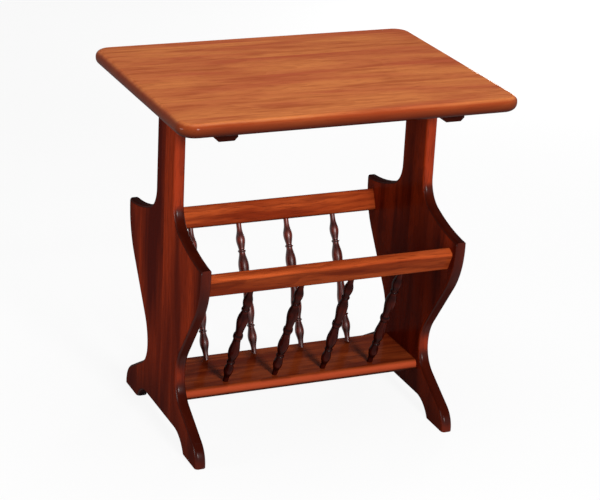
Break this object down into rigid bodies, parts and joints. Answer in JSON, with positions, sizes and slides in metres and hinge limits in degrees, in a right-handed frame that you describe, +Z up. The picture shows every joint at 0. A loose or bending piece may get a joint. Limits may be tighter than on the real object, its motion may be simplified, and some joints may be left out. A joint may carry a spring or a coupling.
{
  "type": "magazine table with rack",
  "caption": "Oak side table with a rectangular top on two scroll-cut side panels, and a V-shaped magazine rack of turned spindles between leaning rails and a low shelf.",
  "frame": {"origin": "on the floor, under the middle of the table", "axes": "+X along the table towards its right-hand panel, +Y towards the back, +Z up"},
  "size_m": [0.58, 0.444, 0.603],
  "materials": {
    "stained_oak_top": "glossy lacquer",
    "stained_oak_panels": "glossy lacquer",
    "stained_oak_rack": "glossy lacquer",
    "stained_oak_turnings": "glossy lacquer",
    "zinc_plated_screws": "zinc plated"
  },
  "bodies": {
    "root": {"tabletop": "stained_oak_top", "left_side_panel": "stained_oak_panels", "right_side_panel": "stained_oak_panels", "left_top_cleat": "stained_oak_panels", "right_top_cleat": "stained_oak_panels", "front_rail": "stained_oak_rack", "back_rail": "stained_oak_rack", "bottom_shelf": "stained_oak_rack", "front_spindle_1": "stained_oak_turnings", "front_spindle_2": "stained_oak_turnings", "front_spindle_3": "stained_oak_turnings", "front_spindle_4": "stained_oak_turnings", "back_spindle_1": "stained_oak_turnings", "back_spindle_2": "stained_oak_turnings", "back_spindle_3": "stained_oak_turnings", "back_spindle_4": "stained_oak_turnings"}
  },
  "joints": []
}
